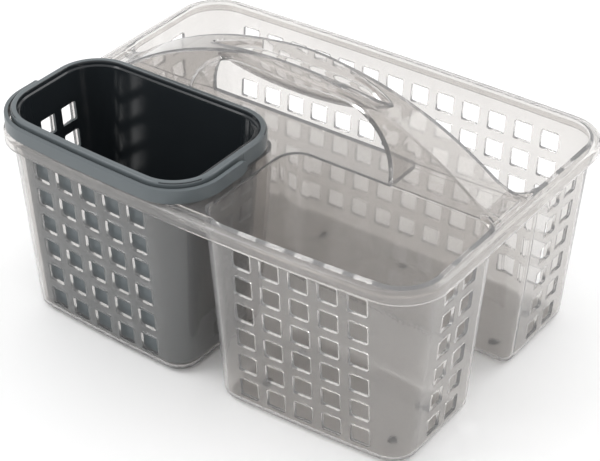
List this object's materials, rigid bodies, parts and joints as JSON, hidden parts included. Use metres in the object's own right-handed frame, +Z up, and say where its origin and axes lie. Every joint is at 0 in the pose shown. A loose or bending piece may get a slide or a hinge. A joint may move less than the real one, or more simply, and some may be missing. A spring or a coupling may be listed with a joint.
{
  "type": "shower caddy",
  "caption": "Clear plastic shower tote with open-grid wells and an arched carry handle, holding a grey lift-out basket with a folding bail.",
  "frame": {"origin": "middle of the footprint, on the surface the feet stand on", "axes": "+X along the carry handle to the right, +Y to the back, +Z up"},
  "size_m": [0.3448, 0.2557, 0.2005],
  "materials": {
    "clear_shell": "clear moulded polystyrene with a faint smoke tint, gloss",
    "basket_grey": "dark grey moulded polypropylene, satin gloss",
    "bail_grey": "dark grey moulded polypropylene, satin gloss"
  },
  "bodies": {
    "tote": {"left_front_well": "clear_shell", "right_front_well": "clear_shell", "back_well": "clear_shell", "rim": "clear_shell", "divider_deck": "clear_shell", "carry_handle": "clear_shell"},
    "basket": {"basket_well": "basket_grey", "basket_rim": "basket_grey"},
    "bail": {"bail_handle": "bail_grey"}
  },
  "joints": [
    {"name": "basket_lift", "type": "slide", "parent": "tote", "child": "basket", "axis": [0, 0, 1], "range_m": [0, 0.16]},
    {"name": "bail_fold", "type": "hinge", "parent": "basket", "child": "bail", "pos_m": [-0.08475, -0.068, 0.1525], "axis": [-1, 0, 0], "range_deg": [0, 150]}
  ]
}
